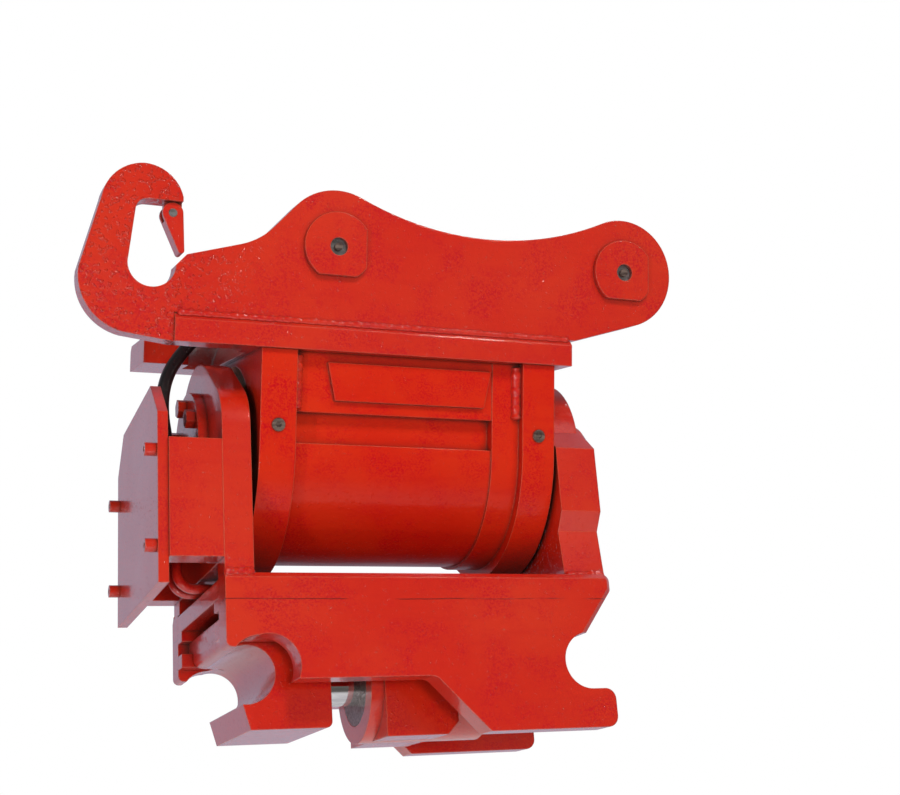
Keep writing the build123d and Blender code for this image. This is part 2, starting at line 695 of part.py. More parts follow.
with BuildPart() as shaft:
    with BuildSketch(LOW_END.offset(LEFT_ARM_L_X)):
        Circle(JOURNAL_R)
    extrude(amount=HOUSING_L_X + BEARING_LENGTH - LEFT_ARM_L_X)
    with BuildSketch(LOW_END.offset(HOUSING_L_X + BEARING_LENGTH)):
        Circle(SPLINE_R)
    extrude(amount=HOUSING_LENGTH - 2 * BEARING_LENGTH)
    with BuildSketch(LOW_END.offset(HOUSING_R_X - BEARING_LENGTH)):
        Circle(SMALL_JOURNAL_R)
    extrude(amount=RIGHT_ARM_R_X - HOUSING_R_X + BEARING_LENGTH)
save(shaft, "shaft")

with BuildPart() as thrust_washers:
    ring(LOW_END.offset(LEFT_ARM_R_X), JOURNAL_R, WASHER_R, LEFT_GAP - RUN_FIT)
    ring(LOW_END.offset(HOUSING_R_X + RUN_FIT), SMALL_JOURNAL_R, WASHER_R, RIGHT_GAP - RUN_FIT)
save(thrust_washers, "thrust_washers")

# Left arm: a rounded head on two legs that stand on the coupler side plates
with BuildPart() as arm_plate_left:
    with BuildSketch(LOW_END.offset(LEFT_ARM_L_X)):
        Circle(DISC_R)
        with Locations((SHOULDER_R - ARM_HALF, -SHOULDER_DROP), (ARM_HALF - SHOULDER_R, -SHOULDER_DROP)):
            Circle(SHOULDER_R)
        make_hull()
        bar(-ARM_HALF, ARM_HALF, ARM_FOOT, -SHOULDER_DROP)
        bar(-WINDOW_HALF, WINDOW_HALF, ARM_FOOT, WINDOW_TOP, Mode.SUBTRACT)
        Circle(JOURNAL_R, mode=Mode.SUBTRACT)
    extrude(amount=LEFT_ARM_T)
save(arm_plate_left, "arm_plate_left")

with BuildPart() as hub_flange:
    with BuildSketch(LOW_END.offset(LEFT_ARM_L_X - HUB_T)):
        Circle(HUB_R)
    extrude(amount=HUB_T)
save(hub_flange, "hub_flange")

with BuildPart() as hub_bolts:
    with BuildSketch(LOW_END.offset(LEFT_ARM_L_X - HUB_T - BOLT_HEAD_T)):
        with PolarLocations(HUB_BOLT_R, HUB_BOLTS, start_angle=HUB_BOLT_TURN):
            RegularPolygon(BOLT_HEAD_R, 6)
    extrude(amount=BOLT_HEAD_T)
save(hub_bolts, "hub_bolts")

# Right arm: waisted plate, seen edge on
with BuildPart() as arm_plate_right:
    with BuildSketch(LOW_END.offset(RIGHT_ARM_L_X)):
        polygon(
            (-ARM_HALF, RIGHT_TOP),
            (-ARM_HALF, RIGHT_KNEE),
            (-RIGHT_WAIST_HALF, RIGHT_WAIST),
            (-RIGHT_FOOT_HALF, ARM_FOOT),
            (RIGHT_FOOT_HALF, ARM_FOOT),
            (RIGHT_WAIST_HALF, RIGHT_WAIST),
            (ARM_HALF, RIGHT_KNEE),
            (ARM_HALF, RIGHT_TOP),
            (RIGHT_SHOULDER_Y, RIGHT_SHOULDER_Z),
            (-RIGHT_SHOULDER_Y, RIGHT_SHOULDER_Z),
        )
        Circle(RIGHT_DISC_R)
        Circle(SMALL_JOURNAL_R, mode=Mode.SUBTRACT)
    extrude(amount=RIGHT_ARM_T)
save(arm_plate_right, "arm_plate_right")

with BuildPart() as end_cap:
    with BuildSketch(LOW_END.offset(RIGHT_ARM_R_X)):
        Circle(CAP_R)
    extrude(amount=CAP_LENGTH)
    chamfer(end_cap.edges().sort_by(Axis.X)[-1], CAP_CHAMFER)
save(end_cap, "end_cap")

# Guard box: two cheeks on the left arm, the guard plate and its four screws
for label, near in (("box_side_near", True), ("box_side_far", False)):
    with BuildPart() as box_side:
        with BuildSketch(LOW_END.offset(BOX_L_X)):
            if near:
                bar(-ARM_HALF, -ARM_HALF + BOX_SIDE_T, WINDOW_TOP, BOX_TOP)
            else:
                bar(ARM_HALF - BOX_SIDE_T, ARM_HALF, WINDOW_TOP, BOX_TOP)
        extrude(amount=BOX_LENGTH)
    save(box_side, label)

with BuildPart() as guard_plate:
    with BuildSketch(LOW_END.offset(GUARD_L_X)) as guard:
        bar(-GUARD_HALF, GUARD_HALF, GUARD_FOOT, GUARD_TOP)
        for y in (-GUARD_HALF, GUARD_HALF):
            corner = guard.vertices().sort_by_distance((y, GUARD_TOP, 0))[0]
            chamfer(corner, GUARD_CUT)
    extrude(amount=GUARD_T)
save(guard_plate, "guard_plate")

SCREW_PLACES = [(y, z) for y in (-SCREW_HALF, SCREW_HALF) for z in (SCREW_TOP, SCREW_LOW)]
with BuildPart() as guard_screws:
    with BuildSketch(LOW_END.offset(GUARD_L_X - SCREW_HEAD)):
        with Locations(*SCREW_PLACES):
            Circle(SCREW_R)
    extrude(amount=SCREW_HEAD)
    with BuildSketch(LOW_END.offset(GUARD_L_X - SCREW_HEAD)):
        with Locations(*SCREW_PLACES):
            RegularPolygon(SCREW_KEY_R, 6)
    extrude(amount=SCREW_KEY_DEPTH, mode=Mode.SUBTRACT)
save(guard_screws, "guard_screws")

# Manifold behind the guard: the hose enters on top, two steel tubes leave below
with BuildPart() as manifold:
    with BuildSketch(LOW_TOP.offset(MANIFOLD_FOOT)):
        bar(LEFT_ARM_L_X - MANIFOLD_LENGTH, LEFT_ARM_L_X, -MANIFOLD_HALF, MANIFOLD_HALF)
    extrude(amount=MANIFOLD_TOP - MANIFOLD_FOOT)
    with BuildSketch(LOW_TOP.offset(MANIFOLD_FOOT - LINE_NUT_LENGTH)):
        with Locations((LINE_X, -LINE_HALF), (LINE_X, LINE_HALF)):
            RegularPolygon(LINE_NUT_R, 6)
    extrude(amount=LINE_NUT_LENGTH)
save(manifold, "manifold")


def pipe(points, bend, radius):
    """Round bar along straight runs that are joined by bends of one radius."""
    with BuildLine() as route:
        FilletPolyline(*points, radius=bend)
    start = Plane(origin=route.line @ 0, z_dir=route.line % 0)
    with BuildSketch(start) as section:
        Circle(radius)
    sweep(section.sketch, path=route.line)


with BuildPart() as steel_tubes:
    for y, end_x in TUBE_ENDS:
        pipe(
            (
                low_point(LINE_X, y, MANIFOLD_FOOT - LINE_NUT_LENGTH),
                low_point(LINE_X, y, TUBE_RUN_Z),
                low_point(end_x, y, TUBE_RUN_Z),
            ),
            TUBE_BEND,
            TUBE_D / 2,
        )
        with BuildSketch(LOW_TOP.offset(TUBE_BOSS_Z)) as drop:
            with Locations((end_x, y)):
                Circle(TUBE_D / 2)
        extrude(drop.sketch, amount=TUBE_RUN_Z - TUBE_BOSS_Z)
        with BuildSketch(LOW_TOP.offset(DECK_TOP)) as elbow:
            with Locations((end_x, y)):
                Rectangle(2 * ELBOW_HALF, 2 * ELBOW_HALF)
        extrude(elbow.sketch, amount=2 * ELBOW_HALF)
save(steel_tubes, "steel_tubes")

# Coupler frame
for label, foot_y, outer_y, lip_out in (
    ("side_plate_near", SIDE_IN, -COUPLER_HALF, 0),
    ("side_plate_far", -COUPLER_HALF, COUPLER_HALF, FAR_LIP_OUT),
):
    with BuildPart() as side_plate:
        with BuildSketch(LOW_SIDE.offset(foot_y)):
            add(side_profile(lip_out))
        extrude(amount=SIDE_T)
        along = side_plate.edges().filter_by(Axis.X)
        outer_top = along.sort_by_distance(low_point(LEFT_SEAT_X, outer_y, ARM_FOOT))[0]
        chamfer(outer_top, TOP_BEVEL)
    save(side_plate, label)

with BuildPart() as deck_plate:
    with BuildSketch(LOW_TOP.offset(DECK_FOOT)):
        bar(COUPLER_L_X, DECK_R_X, -SIDE_IN, SIDE_IN)
        for y, end_x in TUBE_ENDS:
            bar(end_x - TUBE_HOLE_R, end_x + TUBE_HOLE_R, y - TUBE_HOLE_R, y + TUBE_HOLE_R, Mode.SUBTRACT)
    extrude(amount=DECK_TOP - DECK_FOOT)
save(deck_plate, "deck_plate")

with BuildPart() as cross_plate:
    with BuildSketch(LOW_END.offset(CROSS_X)):
        bar(-SIDE_IN, SIDE_IN, CROSS_FOOT, DECK_FOOT)
    extrude(amount=CROSS_T)
save(cross_plate, "cross_plate")

# Moving jaw: a block with side tongues that run between rails on the side plates
with BuildPart() as jaw_block:
    with BuildSketch(LOW_SIDE.offset(-JAW_HALF)):
        add(jaw_profile())
    extrude(amount=2 * JAW_HALF)
    with BuildSketch(LOW_TOP.offset(JAW_TOP - TONGUE_T)):
        bar(JAW_L_X, JAW_L_X + TONGUE_LENGTH, SLIDE_FIT - SIDE_IN, SIDE_IN - SLIDE_FIT)
    extrude(amount=TONGUE_T)
    with BuildSketch(LOW_END.offset(JAW_R_X - ROD_SEAT)):
        with Locations((0, ROD_Z)):
            Circle(ROD_R)
    extrude(amount=ROD_SEAT, mode=Mode.SUBTRACT)
save(jaw_block, "jaw_block")


def rail_pair(foot, height):
    """Two guide bars on the inner faces of the side plates."""
    with BuildSketch(LOW_TOP.offset(foot)) as section:
        bar(COUPLER_L_X, COUPLER_L_X + RAIL_LENGTH, -SIDE_IN, RAIL_W - SIDE_IN)
        bar(COUPLER_L_X, COUPLER_L_X + RAIL_LENGTH, SIDE_IN - RAIL_W, SIDE_IN)
    extrude(section.sketch, amount=height)


with BuildPart() as rails_upper:
    rail_pair(JAW_TOP + SLIDE_FIT, DECK_FOOT - JAW_TOP - SLIDE_FIT)
save(rails_upper, "rails_upper")

with BuildPart() as rails_lower:
    rail_pair(JAW_TOP - TONGUE_T - SLIDE_FIT - RAIL_T, RAIL_T)
save(rails_lower, "rails_lower")

# Hydraulic cylinder: saddle under the deck, barrel, gland, back cap and rod
with BuildPart() as cylinder_saddle:
    with BuildSketch(LOW_SIDE.offset(-SADDLE_HALF)) as saddle:
        polygon(
            (SADDLE_L_X, DECK_FOOT),
            (SADDLE_L_X, SADDLE_FOOT),
            (SADDLE_R_X - SADDLE_SLOPE, SADDLE_FOOT),
            (SADDLE_R_X, SADDLE_FOOT + SADDLE_SLOPE),
            (SADDLE_R_X, DECK_FOOT),
        )
    extrude(amount=2 * SADDLE_HALF)
    with BuildSketch(LOW_END.offset(SADDLE_L_X)):
        with Locations((0, ROD_Z)):
            Circle(BARREL_R)
    extrude(amount=SADDLE_R_X - SADDLE_L_X, mode=Mode.SUBTRACT)
    with BuildSketch(LOW_TOP.offset(ROD_Z)):
        for y, end_x in TUBE_ENDS:
            with Locations((end_x, y)):
                Circle(TUBE_BOSS_R)
    extrude(amount=DECK_FOOT - ROD_Z, mode=Mode.SUBTRACT)
save(cylinder_saddle, "cylinder_saddle")

with BuildPart() as cylinder_barrel:
    with BuildSketch(LOW_END.offset(BARREL_L_X)):
        with Locations((0, ROD_Z)):
            Circle(BARREL_R)
    extrude(amount=BARREL_R_X - BARREL_L_X)
    with BuildSketch(LOW_TOP.offset(ROD_Z)):
        for y, end_x in TUBE_ENDS:
            with Locations((end_x, y)):
                Circle(TUBE_BOSS_R)
    extrude(amount=TUBE_BOSS_Z - ROD_Z)
    with BuildSketch(LOW_END.offset(BARREL_L_X)):
        with Locations((0, ROD_Z)):
            Circle(BARREL_BORE_R)
    extrude(amount=BARREL_R_X - BARREL_L_X, mode=Mode.SUBTRACT)
save(cylinder_barrel, "cylinder_barrel")

with BuildPart() as cylinder_gland:
    with BuildSketch(LOW_END.offset(BARREL_L_X)):
        with Locations((0, ROD_Z)):
            Circle(BARREL_BORE_R)
            Circle(ROD_R + RUN_FIT, mode=Mode.SUBTRACT)
    extrude(amount=GLAND_LENGTH)
save(cylinder_gland, "cylinder_gland")

with BuildPart() as cylinder_back:
    with BuildSketch(LOW_END.offset(BARREL_R_X - BACK_LENGTH)):
        with Locations((0, ROD_Z)):
            Circle(BARREL_BORE_R)
    extrude(amount=BACK_LENGTH)
save(cylinder_back, "cylinder_back")

PISTON_AT = BARREL_L_X + GLAND_LENGTH + PISTON_ROOM
with BuildPart() as cylinder_rod:
    with BuildSketch(LOW_END.offset(JAW_R_X - ROD_SEAT)):
        with Locations((0, ROD_Z)):
            Circle(ROD_R)
    extrude(amount=PISTON_AT - JAW_R_X + ROD_SEAT)
    with BuildSketch(LOW_END.offset(PISTON_AT)):
        with Locations((0, ROD_Z)):
            Circle(BARREL_BORE_R - RUN_FIT)
    extrude(amount=ROD_PISTON_LENGTH)
save(cylinder_rod, "cylinder_rod")

# Hose from the adapter on the base plate, through the notch, down to the manifold
HOSE_TOP = Vector(HOUSING_L_X + HOSE_START[0], HOSE_Y, HOSE_START[1])
HOSE_ROUTE = [
    HOSE_TOP,
    Vector(HOUSING_L_X + HOSE_MID_1[0], HOSE_Y, HOSE_MID_1[1]),
    Vector(HOUSING_L_X + HOSE_MID_2[0], HOSE_Y, HOSE_MID_2[1]),
    low_point(LINE_X, HOSE_Y, MANIFOLD_TOP + HOSE_RISE),
    low_point(LINE_X, HOSE_Y, MANIFOLD_TOP),
]


def hose_bends(points):
    """Arc radius for each inner corner, from the shorter run beside it."""
    bends = []
    for before, at, after in zip(points, points[1:], points[2:]):
        turn = radians((at - before).get_angle(after - at))
        shorter = min((at - before).length, (after - at).length)
        bends.append(min(BEND_SHARE * shorter / tan(turn / 2), BEND_CAP))
    return bends


with BuildPart() as hose:
    with BuildLine() as hose_line:
        FilletPolyline(*HOSE_ROUTE, radius=hose_bends(HOSE_ROUTE))
    with BuildSketch(Plane(origin=hose_line.line @ 0, z_dir=hose_line.line % 0)):
        Circle(HOSE_D / 2)
    sweep(path=hose_line.line)
save(hose, "hose")
print("hose bends", [round(bend) for bend in hose_bends(HOSE_ROUTE)])
hose_length = sum(edge.length for edge in hose_line.edges())
print("hose length", round(hose_length), "volume", round(hose.part.volume))

with BuildPart() as hose_ferrule_low:
    ferrule_plane = Plane(origin=HOSE_ROUTE[-1], z_dir=HOSE_ROUTE[-2] - HOSE_ROUTE[-1])
    ring(ferrule_plane, HOSE_D / 2, FERRULE_R, FERRULE_LENGTH)
save(hose_ferrule_low, "hose_ferrule_low")

adapter_x = HOUSING_L_X + ADAPTER_IN
with BuildPart() as hose_adapter:
    with BuildSketch(Plane.XY.offset(BASE_TOP_Z)):
        bar(adapter_x, adapter_x + ADAPTER_LENGTH, HOSE_Y - ADAPTER_HALF, HOSE_Y + ADAPTER_HALF)
    extrude(amount=ADAPTER_TOP - BASE_TOP_Z)
    with BuildSketch(Plane(origin=HOSE_TOP, z_dir=HOSE_TOP - HOSE_ROUTE[1])):
        Circle(FERRULE_R)
    extrude(amount=ADAPTER_STUB)
save(hose_adapter, "hose_adapter")

with BuildPart() as hose_ferrule_top:
    ring(Plane(origin=HOSE_TOP, z_dir=HOSE_ROUTE[1] - HOSE_TOP), HOSE_D / 2, FERRULE_R, FERRULE_LENGTH)
save(hose_ferrule_top, "hose_ferrule_top")
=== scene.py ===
import json
import random
from math import cos, pi, radians, sin

import bmesh
import bpy
from mathutils import Matrix, Vector


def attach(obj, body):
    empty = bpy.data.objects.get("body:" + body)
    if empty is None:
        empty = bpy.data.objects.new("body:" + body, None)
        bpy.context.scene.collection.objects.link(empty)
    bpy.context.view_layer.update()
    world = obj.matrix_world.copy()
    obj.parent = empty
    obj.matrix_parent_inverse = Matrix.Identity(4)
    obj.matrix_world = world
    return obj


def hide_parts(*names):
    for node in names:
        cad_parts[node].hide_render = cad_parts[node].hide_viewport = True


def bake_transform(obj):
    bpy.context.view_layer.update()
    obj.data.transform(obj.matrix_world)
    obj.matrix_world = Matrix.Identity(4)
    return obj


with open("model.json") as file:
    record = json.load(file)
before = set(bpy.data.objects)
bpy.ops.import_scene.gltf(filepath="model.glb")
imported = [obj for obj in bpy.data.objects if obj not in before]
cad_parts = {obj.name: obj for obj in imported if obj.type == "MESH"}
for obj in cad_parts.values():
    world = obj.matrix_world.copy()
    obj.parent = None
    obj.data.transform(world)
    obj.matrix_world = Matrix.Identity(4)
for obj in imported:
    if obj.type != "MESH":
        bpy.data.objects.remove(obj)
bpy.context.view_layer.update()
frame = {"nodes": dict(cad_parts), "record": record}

# Camera: solved from the edges of the photograph, in metres of the CAD frame
LENS_MM = 57.2
SENSOR_MM = 36.0
CAMERA_AT = Vector((-0.7241, -1.480, -0.2972))
CAMERA_RIGHT = Vector((0.93104, -0.36469, 0.01303))
CAMERA_UP = Vector((-0.05030, -0.09288, 0.99441))
CAMERA_BACK = Vector((-0.36144, -0.92649, -0.10481))

# Tilt axis, and the lean of the lower half at rest, as in the CAD
REST_TILT = radians(13.0)
AXIS_Z = -0.202

# World: a dim fill for matt surfaces. Glossy ones see a wall, dark in front of the part and
# bright behind it, under a dimmer ceiling. A span is in y or z of the unit direction.
FILL = 0.13
FILL_TINT = (0.90, 0.86, 0.88)
WALL_DARK = 0.14
WALL_BRIGHT = 0.50
WALL_SPAN = (-0.35, 0.75)
FRONT_TINT = (0.95, 0.86, 0.76)
BACK_TINT = (0.89, 0.80, 1.0)
CEILING = 0.55
CEILING_SPAN = (0.10, 0.60)

# Lamps: name, place, width and height, watts, colour, and whether reflections show it
AIM = Vector((-0.25, 0.0, -0.25))
WARM = (1.0, 0.98, 0.95)
MILD = (1.0, 0.99, 0.98)
PLAIN = (1.0, 1.0, 1.0)
LAMPS = (
    ("front", (-0.45, -2.95, 0.0), (0.7, 0.7), 31, WARM, False),
    ("high", (-0.45, -2.25, 1.80), (0.5, 0.5), 31, WARM, False),
    ("strip_left", (-2.0, -1.6, -0.50), (0.06, 1.3), 10, MILD, True),
    ("glint_low", (-1.3, -1.5, -1.15), (0.12, 0.12), 2, MILD, True),
    ("glint_right", (0.69, -1.56, 1.57), (0.18, 0.18), 7, MILD, True),
    ("top", (0.6, 0.3, 2.1), (0.6, 0.6), 12, PLAIN, True),
    ("back", (1.3, 2.4, 0.9), (1.4, 1.4), 48, MILD, False),
)

# Floor: a disc far below the part, fading out from one distance to its rim
FLOOR_Z = -1.30
FLOOR_R = 2.6
FLOOR_FADE_R = 0.9
FLOOR_SIDES = 96
FLOOR_ROUGH = 0.8
FLOOR_GRAIN = (30, 3, 0.5)
FLOOR_TONE = (0.80, 0.80, 0.81)
FLOOR_LIGHT_TONE = (0.83, 0.83, 0.83)

# Paint colours
RED = (0.60, 0.014, 0.004)
LIGHT_RED = (0.64, 0.028, 0.006)
BRUSHED_RED = (0.54, 0.008, 0.005)
CRIMSON = (0.53, 0.003, 0.008)
# Painted highlight: a lighter orange on sharp outer edges
EDGE_HIGHLIGHT = (0.74, 0.17, 0.09)
# Painted shade: darker in corners and gaps, and near black in deep hollows
CORNER_SHADE = (0.16, 0.020, 0.012)
HOLLOW_SHADE = (0.06, 0.025, 0.018)
SEAM_SHADE = (0.28, 0.010, 0.006)

# Paint patterns: scale, detail and roughness of each noise
BRUSH_MARKS = (60, 3, 0.6)
CLOUDS = (6, 2, 0.5)
SPECKS = (520, 2, 0.7)
PATCHES = (26, 3, 0.6)
ORANGE_PEEL = (240, 2, 0.5)
GRIT = (330, 2, 0.5)
DROPS = (210, 2, 0.5)
SEAM_WAVES = (18, 3, 0.6)
SEAM_BREAKS = (14, 3, 0.6)
BRUSH_STRETCH = (0.22, 1.0, 1.5)

# Paint relief: strength of each bump, and its height in metres
BRUSH_RELIEF = (0.20, 0.0006)
PEEL_RELIEF = (0.30, 0.0004)
GRIT_RELIEF = (0.50, 0.0007)
DROP_RELIEF = (0.8, 0.0016)
SEAM_RELIEF = (0.9, -0.0008)

# Paint surface: rounding of its edges, the width of the painted highlight on them, and its clear
# coat
PAINT_ROUGH = 0.34
PAINT_ROUGH_SPAN = (0.30, 0.40)
PAINT_BEVEL = 0.0022
BEAD_BEVEL = 0.0004
EDGE_HIGHLIGHT_WIDTH = 0.0012
COAT_IOR = 1.6

# Seam in the side plates' paint: its height in the lower half, half its width, its wander
SEAM_Z = -0.178
SEAM_HALF = 0.0005
SEAM_WANDER = 0.0009

# Drops of paint on the flame-cut hook begin at one x and are full at the other
DROPS_BEGIN_X = -0.38
DROPS_FULL_X = -0.46

# Metals: grain along x, darker blots and a fine relief
METAL_GRAIN = (300, 3, 0.6)
METAL_STRETCH = (0.15, 1.0, 1.0)
METAL_BLOTS = (30, 3, 0.5)
METAL_RELIEF = (0.12, 0.0002)
METAL_BEVEL = 0.0005

# Rubber: fine grain with dust in patches
RUBBER_GRAIN = (700, 2, 0.6)
RUBBER_RELIEF = (0.2, 0.0002)
DUST_PATCHES = (40, 4, 0.6)
DUST = (0.09, 0.085, 0.08)

# Samples of the shader nodes that look round a point
BEVEL_SAMPLES = 4
CREVICE_SAMPLES = 6

# Hose, as in the CAD: its size, and where it hangs and comes down on the manifold
HOSE_D = 0.014
HOSE_Y = 0.018
HOSE_SIDES = 24
ROUTE_STEPS = 16
MANIFOLD_X = -0.4535

# Weld beads: sides and spacing of the rings, shares of the radius, counts of rings, a phase
BEAD_SIDES = 14
RING_SPACING = 0.0012
RIPPLE = 0.24
UNEVENNESS = 0.16
END_SHARE = 0.35
END_RINGS = 3
KNOT_RINGS = 5
HALF_RIPPLE_RINGS = (3.4, 4.2)
RIPPLE_PHASE = (0, 6)

# Welds in pairs: name, y, (x, z) of start and end in the body's own planes, radius, body
WELDS = (
    ("weld_housing_left", 0.1185, (-0.356, -0.107), (-0.356, -0.164), 0.0055, "bracket"),
    ("weld_housing_right", 0.1185, (-0.1185, -0.107), (-0.1185, -0.164), 0.0055, "bracket"),
    ("weld_arm_left", 0.1235, (-0.431, -0.1515), (-0.401, -0.1515), 0.0042, "swing"),
    ("weld_arm_right", 0.1175, (-0.076, -0.1525), (-0.031, -0.1525), 0.0048, "swing"),
    ("weld_cheek", 0.1175, (-0.4305, -0.137), (-0.4305, -0.022), 0.0015, "swing"),
    ("weld_ear", 0.130, (-0.478, -0.077), (-0.064, -0.077), 0.003, "bracket"),
)


def low_point(x, y, z):
    """A point of the leaning lower half, in the part's own frame."""
    return Vector(
        (
            x,
            y * cos(REST_TILT) + z * sin(REST_TILT),
            AXIS_Z - y * sin(REST_TILT) + z * cos(REST_TILT),
        )
    )


def add_camera():
    """Camera at the photograph's place and angle."""
    data = bpy.data.cameras.new("camera")
    data.lens = LENS_MM
    data.sensor_width = SENSOR_MM
    camera = bpy.data.objects.new("camera", data)
    turn = Matrix((CAMERA_RIGHT, CAMERA_UP, CAMERA_BACK)).transposed().to_4x4()
    camera.matrix_world = Matrix.Translation(CAMERA_AT) @ turn
    bpy.context.collection.objects.link(camera)
    bpy.context.scene.camera = camera


def add_lamp(name, place, size, watts, colour, mirrored):
    """Area lamp aimed at the part; one that isn't mirrored lights matt surfaces only."""
    data = bpy.data.lights.new(name, "AREA")
    data.shape = "RECTANGLE"
    data.size, data.size_y = size
    data.energy = watts
    data.color = colour
    lamp = bpy.data.objects.new(name, data)
    lamp.location = place
    lamp.rotation_euler = (AIM - Vector(place)).to_track_quat("-Z", "Y").to_euler()
    lamp.visible_glossy = mirrored
    bpy.context.collection.objects.link(lamp)


class Nodes:
    """The nodes of a material or of the world, and the calls that both use."""

    def __init__(self, tree):
        self.nodes = tree.nodes
        self.links = tree.links

    def fill(self, entry, value):
        """Link an input of a node to a socket, or set it to a value."""
        if isinstance(value, bpy.types.NodeSocket):
            self.links.new(value, entry)
        else:
            entry.default_value = value

    def node(self, kind, inputs=None, **settings):
        """Add a node of one kind; each of its inputs is given a value or a socket."""
        added = self.nodes.new("ShaderNode" + kind)
        for key, value in settings.items():
            setattr(added, key, value)
        for key, value in (inputs or {}).items():
            self.fill(added.inputs[key], value)
        return added

    def ramp(self, value, low, high, start=0.0, end=1.0):
        """Map a value between two bounds onto start to end, clamped; smooth if the bounds rise."""
        inputs = {"Value": value, "From Min": low, "From Max": high, "To Min": start, "To Max": end}
        shape = "SMOOTHSTEP" if high > low else "LINEAR"
        return self.node("MapRange", inputs, interpolation_type=shape).outputs[0]

    def mix(self, factor, first, second):
        """Blend two colours; each is a colour or a socket."""
        blend = self.node("Mix", {"Factor": factor}, data_type="RGBA")
        entries = [item for item in blend.inputs if item.type == "RGBA"]
        for entry, value in zip(entries, (first, second)):
            self.fill(entry, (*value, 1) if isinstance(value, tuple) else value)
        return next(item for item in blend.outputs if item.type == "RGBA")

    def maths(self, operation, *values):
        """Result of a sum, product or comparison of values and sockets."""
        return self.node("Math", dict(enumerate(values)), operation=operation).outputs[0]

    def vector_maths(self, operation, *values):
        """Number that comes from one or two vectors: a length or a dot product."""
        worked = self.node("VectorMath", dict(enumerate(values)), operation=operation)
        return worked.outputs["Value"]

    def mix_shaders(self, factor, first, second):
        """Blend the first outputs of two shader nodes."""
        return self.node("MixShader", {0: factor, 1: first.outputs[0], 2: second.outputs[0]})


def add_world():
    """White to the camera, a dim fill, and a tinted wall and ceiling in reflections."""
    world = bpy.data.worlds.new("studio")
    bpy.context.scene.world = world
    world.use_nodes = True
    studio = Nodes(world.node_tree)
    studio.nodes.clear()
    direction = studio.node("TexCoord").outputs["Generated"]
    share = studio.node("SeparateXYZ", {0: direction}).outputs
    tint = studio.mix(studio.ramp(share["Y"], *WALL_SPAN), FRONT_TINT, BACK_TINT)
    wall = studio.ramp(share["Y"], *WALL_SPAN, WALL_DARK, WALL_BRIGHT)
    ceiling = studio.ramp(share["Z"], *CEILING_SPAN, 1.0, CEILING)
    level = studio.maths("MULTIPLY", wall, ceiling)
    dim = studio.node("Background", {"Color": (*FILL_TINT, 1), "Strength": FILL})
    mirror = studio.node("Background", {"Color": tint, "Strength": level})
    white = studio.node("Background", {"Color": (1, 1, 1, 1), "Strength": 1.0})
    ray = studio.node("LightPath").outputs
    room = studio.mix_shaders(ray["Is Glossy Ray"], dim, mirror)
    seen = studio.mix_shaders(ray["Is Camera Ray"], room, white)
    studio.node("OutputWorld", {"Surface": seen.outputs[0]})


class Shader(Nodes):
    """One procedural material on a principled surface, in object coordinates."""

    def __init__(self, name, metallic, roughness, coat=0.0, coat_rough=0.1, specular=0.5):
        self.material = bpy.data.materials.new(name)
        self.material.use_nodes = True
        super().__init__(self.material.node_tree)
        self.surface = self.nodes["Principled BSDF"].inputs
        self.surface["Metallic"].default_value = metallic
        self.surface["Roughness"].default_value = roughness
        self.surface["Coat Weight"].default_value = coat
        self.surface["Coat Roughness"].default_value = coat_rough
        self.surface["Specular IOR Level"].default_value = specular
        self.place = self.node("TexCoord").outputs["Object"]

    def stretched(self, scale):
        """Object coordinates scaled per axis, for grain with a direction."""
        return self.node("Mapping", {"Scale": scale, "Vector": self.place}).outputs[0]

    def noise(self, pattern, vector=None):
        """Noise of a pattern, which is its scale, detail and roughness."""
        scale, detail, rough = pattern
        inputs = {"Scale": scale, "Detail": detail, "Roughness": rough}
        return self.node("TexNoise", {**inputs, "Vector": vector or self.place}).outputs["Fac"]

    def seam(self):
        """High on a thin, wandering, broken line along a side plate."""
        lean = (0, sin(REST_TILT), cos(REST_TILT))
        height = self.vector_maths("DOT_PRODUCT", self.place, lean)
        wander = self.ramp(self.noise(SEAM_WAVES), 0.0, 1.0, -SEAM_WANDER, SEAM_WANDER)
        seam_height = SEAM_Z + AXIS_Z * cos(REST_TILT)
        line = self.maths("COMPARE", self.maths("ADD", height, wander), seam_height, SEAM_HALF)
        return self.maths("MULTIPLY", line, self.ramp(self.noise(SEAM_BREAKS), 0.38, 0.52))

    def bevelled(self, radius):
        """Normal that is rounded over edges."""
        return self.node("Bevel", {"Radius": radius}, samples=BEVEL_SAMPLES).outputs[0]

    def edge(self, width):
        """High on sharp outer edges, where the rounded normal leaves the true one."""
        true = self.node("NewGeometry").outputs["Normal"]
        return self.ramp(self.vector_maths("DOT_PRODUCT", self.bevelled(width), true), 0.99, 0.80)

    def crevice(self, reach, open_at, shut_at):
        """High where little of the nearby space is open: corners, gaps, hollows."""
        near = self.node("AmbientOcclusion", {"Distance": reach}, samples=CREVICE_SAMPLES)
        return self.ramp(near.outputs["AO"], open_at, shut_at)

    def beyond(self, axis, start, end):
        """Rises from start to end along one object axis."""
        return self.ramp(self.node("SeparateXYZ", {0: self.place}).outputs[axis], start, end)

    def bump(self, reliefs, bevel=None):
        """Chain of bumps over a rounded normal, on the surface and its clear coat alike."""
        normal = self.bevelled(bevel) if bevel else None
        for height, (strength, distance) in reliefs:
            raised = {"Strength": strength, "Distance": distance, "Height": height}
            if normal:
                raised["Normal"] = normal
            normal = self.node("Bump", raised).outputs[0]
        self.links.new(normal, self.surface["Normal"])
        self.links.new(normal, self.surface["Coat Normal"])

    def colour(self, socket):
        """Give the surface its colour."""
        self.links.new(socket, self.surface["Base Color"])

    def rough(self, socket):
        """Give the surface its roughness."""
        self.links.new(socket, self.surface["Roughness"])


